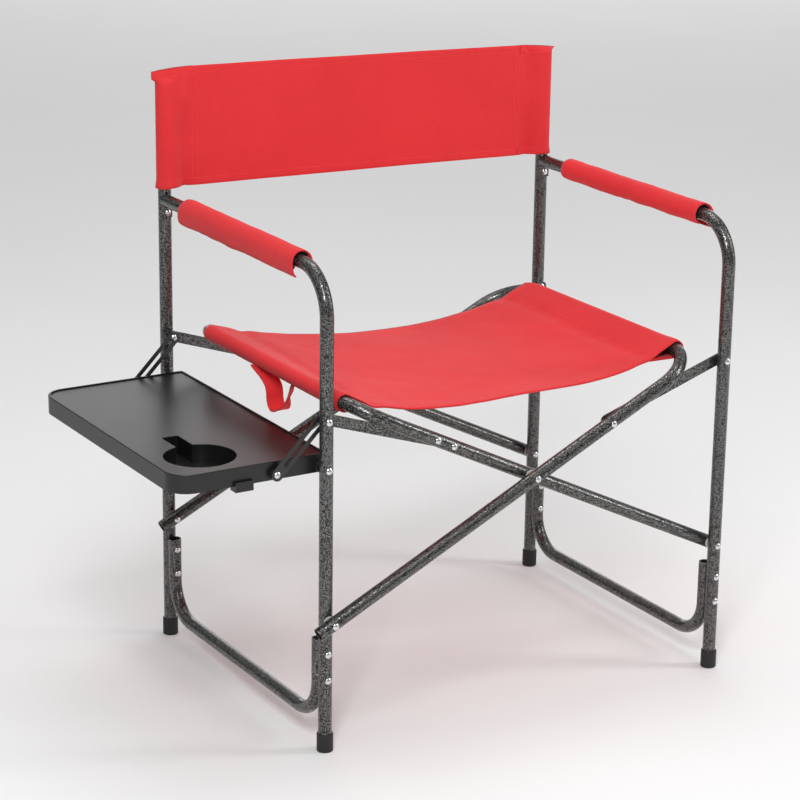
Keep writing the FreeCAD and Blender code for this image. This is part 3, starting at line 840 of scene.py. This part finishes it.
# ---- Stage ----
def add_area_light(name, place, target, size, power, colour=(1, 1, 1)):
    light = bpy.data.lights.new(name, "AREA")
    light.shape = "RECTANGLE"
    light.size, light.size_y = size
    light.energy = power
    light.color = colour
    made = bpy.data.objects.new(name, light)
    made.location = place
    made.rotation_mode = "QUATERNION"
    made.rotation_quaternion = (Vector(place) - Vector(target)).to_track_quat("Z", "Y")
    bpy.context.scene.collection.objects.link(made)
    return made


def add_stage():
    """A pale floor under soft studio light."""
    finish = Finish("studio_floor")
    shade = finish.noise(finish.place(), 1.5, 2.0)
    finish.set(Base_Color=finish.ramp(shade, [(0.3, 0.86), (0.7, 0.88)]), Roughness=0.9)
    half = 12.0
    mesh = bpy.data.meshes.new("studio_floor")
    corners = [(-half, -half, 0), (half, -half, 0), (half, half, 0), (-half, half, 0)]
    mesh.from_pydata(corners, [], [(0, 1, 2, 3)])
    mesh.materials.append(finish.material)
    floor = bpy.data.objects.new("studio_floor", mesh)
    bpy.context.scene.collection.objects.link(floor)

    add_sky()
    bpy.context.scene.view_settings.view_transform = "Standard"
    aim = chair_middle + Vector((0, 0, 0.45))
    add_area_light("key_light", aim + Vector((-1.6, -2.2, 2.2)), aim, (0.7, 1.9), 64)
    add_area_light("fill_light", aim + Vector((2.6, -1.6, 1.4)), aim, (0.6, 2.0), 30)
    add_area_light("backdrop_light", aim + Vector((5.0, 7.8, 1.9)), aim, (8.0, 4.0), 137)
    add_area_light("top_light", aim + Vector((0.2, 0.6, 2.6)), aim, (1.8, 1.2), 15)


def add_sky():
    """Soft light from above that darkens towards the horizon, so that bright metal has edges."""
    world = bpy.data.worlds.new("studio")
    world.use_nodes = True
    nodes, links = world.node_tree.nodes, world.node_tree.links
    height = nodes.new("ShaderNodeSeparateXYZ")
    links.new(nodes.new("ShaderNodeTexCoord").outputs["Generated"], height.inputs[0])
    ramp = nodes.new("ShaderNodeValToRGB")
    ramp.color_ramp.elements[0].position = 0.15
    ramp.color_ramp.elements[0].color = (0.12, 0.12, 0.12, 1.0)
    ramp.color_ramp.elements[1].position = 0.75
    ramp.color_ramp.elements[1].color = (0.62, 0.62, 0.62, 1.0)
    links.new(height.outputs["Z"], ramp.inputs[0])
    links.new(ramp.outputs["Color"], nodes["Background"].inputs["Color"])
    bpy.context.scene.world = world


def add_camera():
    """The camera stands where the reference view was taken from, and is rolled very slightly."""
    azimuth, elevation, roll = (math.radians(angle) for angle in (-31.03, 17.27, 0.80))
    distance = 3.5729
    back = Vector((math.sin(azimuth) * math.cos(elevation), -math.cos(azimuth) * math.cos(elevation),
                   math.sin(elevation)))
    level_right = Vector((math.cos(azimuth), math.sin(azimuth), 0))
    level_up = back.cross(level_right)
    right = level_right * math.cos(roll) + level_up * math.sin(roll)
    up = level_up * math.cos(roll) - level_right * math.sin(roll)
    aim = chair_middle + Vector((-0.0601, 0, 0.3784))
    lens = bpy.data.cameras.new("camera")
    lens.lens = 116.87
    lens.sensor_width = 36.0
    camera = bpy.data.objects.new("camera", lens)
    turned = Matrix((right, up, back)).transposed().to_4x4()
    camera.matrix_world = Matrix.Translation(aim + back * distance) @ turned
    bpy.context.scene.collection.objects.link(camera)
    bpy.context.scene.camera = camera


dress_cad_nodes()
build_seat()
build_back()
for arm_side in SIDES:
    build_arm_pad(arm_side)
build_strap()
add_stage()
add_camera()
